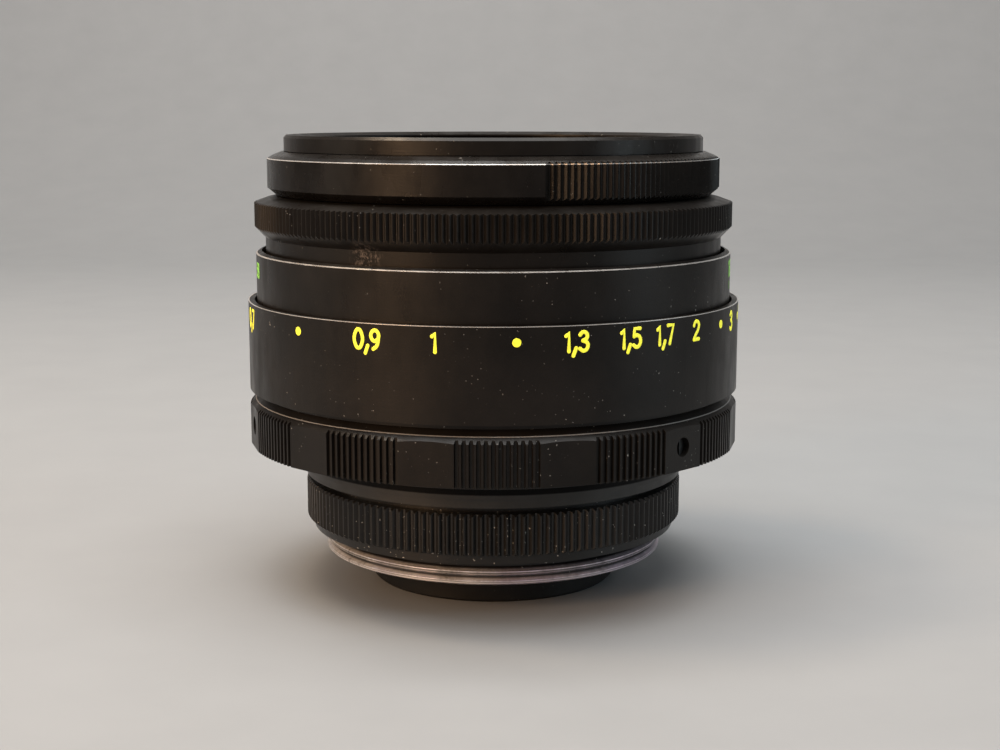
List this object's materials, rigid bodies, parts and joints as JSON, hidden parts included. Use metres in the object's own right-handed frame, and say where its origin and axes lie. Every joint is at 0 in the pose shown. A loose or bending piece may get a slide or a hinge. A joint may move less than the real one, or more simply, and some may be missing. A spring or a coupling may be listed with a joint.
{
  "type": "prime camera lens",
  "caption": "Manual-focus prime camera lens with a screw mount, focus helicoid, knurled focus, aperture and preset rings and a bladed iris.",
  "frame": {"origin": "centre of the rear cell's rim, which the lens stands on", "axes": "+Z along the optical axis towards the front filter thread; -Y is the side seen first"},
  "size_m": [0.0604, 0.0604, 0.055],
  "materials": {
    "base_body": "grey anodised",
    "mount_ring": "satin black",
    "mount_ring_screws": "turned",
    "guide_keys": "machined",
    "guide_key_screws": "turned",
    "focus_retainer": "machined",
    "focus_stop_pins": "turned",
    "focus_sleeve": "machined",
    "grip_ring": "satin black",
    "grip_ring_screws": "turned",
    "distance_ring": "satin black",
    "distance_ring_screws": "turned",
    "focus_limit_pin": "turned",
    "barrel_helicoid": "machined",
    "depth_scale_sleeve": "satin black",
    "depth_scale_screws": "turned",
    "front_barrel": "matt black",
    "barrel_lock_ring": "machined",
    "filter_ring": "satin black",
    "name_ring": "matt black",
    "front_cell": "matt black",
    "lens_front": "polished, coated",
    "front_lens_retainer": "matt black",
    "lens_second": "polished, coated",
    "lens_third": "polished, coated",
    "doublet_retainer": "matt black",
    "rear_cell": "matt black",
    "lens_fourth": "polished, coated",
    "lens_fifth": "polished, coated",
    "rear_doublet_retainer": "matt black",
    "lens_rear": "polished, coated",
    "rear_lens_retainer": "matt black",
    "iris_housing": "matt black",
    "click_plug": "machined",
    "click_ball": "turned",
    "click_spring": "turned",
    "aperture_ring": "satin black",
    "iris_drive_screw": "turned",
    "iris_drive_arm": "machined",
    "iris_cam_ring": "machined",
    "preset_ring": "satin black",
    "preset_ring_screws": "turned",
    "iris_blade_1": "blued",
    "iris_blade_2": "blued",
    "iris_blade_3": "blued",
    "iris_blade_4": "blued",
    "iris_blade_5": "blued",
    "iris_blade_6": "blued",
    "iris_blade_7": "blued",
    "iris_blade_8": "blued"
  },
  "bodies": {
    "base": {"base_body": "base_body", "mount_ring": "mount_ring", "mount_ring_screws": "mount_ring_screws", "guide_keys": "guide_keys", "guide_key_screws": "guide_key_screws", "focus_retainer": "focus_retainer", "focus_stop_pins": "focus_stop_pins"},
    "focus_ring": {"focus_sleeve": "focus_sleeve", "grip_ring": "grip_ring", "grip_ring_screws": "grip_ring_screws", "distance_ring": "distance_ring", "distance_ring_screws": "distance_ring_screws", "focus_limit_pin": "focus_limit_pin"},
    "barrel": {"barrel_helicoid": "barrel_helicoid", "depth_scale_sleeve": "depth_scale_sleeve", "depth_scale_screws": "depth_scale_screws", "front_barrel": "front_barrel", "barrel_lock_ring": "barrel_lock_ring", "filter_ring": "filter_ring", "name_ring": "name_ring", "front_cell": "front_cell", "lens_front": "lens_front", "front_lens_retainer": "front_lens_retainer", "lens_second": "lens_second", "lens_third": "lens_third", "doublet_retainer": "doublet_retainer", "rear_cell": "rear_cell", "lens_fourth": "lens_fourth", "lens_fifth": "lens_fifth", "rear_doublet_retainer": "rear_doublet_retainer", "lens_rear": "lens_rear", "rear_lens_retainer": "rear_lens_retainer", "iris_housing": "iris_housing", "click_plug": "click_plug", "click_ball": "click_ball", "click_spring": "click_spring"},
    "aperture_control": {"aperture_ring": "aperture_ring", "iris_drive_screw": "iris_drive_screw", "iris_drive_arm": "iris_drive_arm", "iris_cam_ring": "iris_cam_ring"},
    "preset_control": {"preset_ring": "preset_ring", "preset_ring_screws": "preset_ring_screws"},
    "blade_1": {"iris_blade_1": "iris_blade_1"},
    "blade_2": {"iris_blade_2": "iris_blade_2"},
    "blade_3": {"iris_blade_3": "iris_blade_3"},
    "blade_4": {"iris_blade_4": "iris_blade_4"},
    "blade_5": {"iris_blade_5": "iris_blade_5"},
    "blade_6": {"iris_blade_6": "iris_blade_6"},
    "blade_7": {"iris_blade_7": "iris_blade_7"},
    "blade_8": {"iris_blade_8": "iris_blade_8"}
  },
  "joints": [
    {"name": "focus_turn", "type": "hinge", "parent": "base", "child": "focus_ring", "pos_m": [0, 0, 0], "axis": [0, 0, 1], "range_deg": [0, 272]},
    {"name": "barrel_slide", "type": "slide", "parent": "base", "child": "barrel", "axis": [0, 0, 1], "range_m": [0, 0.00897]},
    {"name": "aperture_turn", "type": "hinge", "parent": "barrel", "child": "aperture_control", "pos_m": [0, 0, 0], "axis": [0, 0, 1], "range_deg": [-40, 0]},
    {"name": "preset_turn", "type": "hinge", "parent": "barrel", "child": "preset_control", "pos_m": [0, 0, 0], "axis": [0, 0, 1], "range_deg": [-40, 0]},
    {"name": "blade_1_turn", "type": "hinge", "parent": "barrel", "child": "blade_1", "pos_m": [0.0156, 0, 0.0241], "axis": [0, 0, 1], "range_deg": [0, 34.3]},
    {"name": "blade_2_turn", "type": "hinge", "parent": "barrel", "child": "blade_2", "pos_m": [0.01103, 0.01103, 0.0241], "axis": [0, 0, 1], "range_deg": [0, 34.3]},
    {"name": "blade_3_turn", "type": "hinge", "parent": "barrel", "child": "blade_3", "pos_m": [0, 0.0156, 0.0241], "axis": [0, 0, 1], "range_deg": [0, 34.3]},
    {"name": "blade_4_turn", "type": "hinge", "parent": "barrel", "child": "blade_4", "pos_m": [-0.01103, 0.01103, 0.0241], "axis": [0, 0, 1], "range_deg": [0, 34.3]},
    {"name": "blade_5_turn", "type": "hinge", "parent": "barrel", "child": "blade_5", "pos_m": [-0.0156, 0, 0.0241], "axis": [0, 0, 1], "range_deg": [0, 34.3]},
    {"name": "blade_6_turn", "type": "hinge", "parent": "barrel", "child": "blade_6", "pos_m": [-0.01103, -0.01103, 0.0241], "axis": [0, 0, 1], "range_deg": [0, 34.3]},
    {"name": "blade_7_turn", "type": "hinge", "parent": "barrel", "child": "blade_7", "pos_m": [0, -0.0156, 0.0241], "axis": [0, 0, 1], "range_deg": [0, 34.3]},
    {"name": "blade_8_turn", "type": "hinge", "parent": "barrel", "child": "blade_8", "pos_m": [0.01103, -0.01103, 0.0241], "axis": [0, 0, 1], "range_deg": [0, 34.3]}
  ],
  "couplings": [
    {"joint": "focus_turn", "follows": "barrel_slide", "rad_per_m": 529.24},
    {"joint": "blade_1_turn", "follows": "aperture_turn", "ratio": -0.8575},
    {"joint": "blade_2_turn", "follows": "aperture_turn", "ratio": -0.8575},
    {"joint": "blade_3_turn", "follows": "aperture_turn", "ratio": -0.8575},
    {"joint": "blade_4_turn", "follows": "aperture_turn", "ratio": -0.8575},
    {"joint": "blade_5_turn", "follows": "aperture_turn", "ratio": -0.8575},
    {"joint": "blade_6_turn", "follows": "aperture_turn", "ratio": -0.8575},
    {"joint": "blade_7_turn", "follows": "aperture_turn", "ratio": -0.8575},
    {"joint": "blade_8_turn", "follows": "aperture_turn", "ratio": -0.8575}
  ]
}
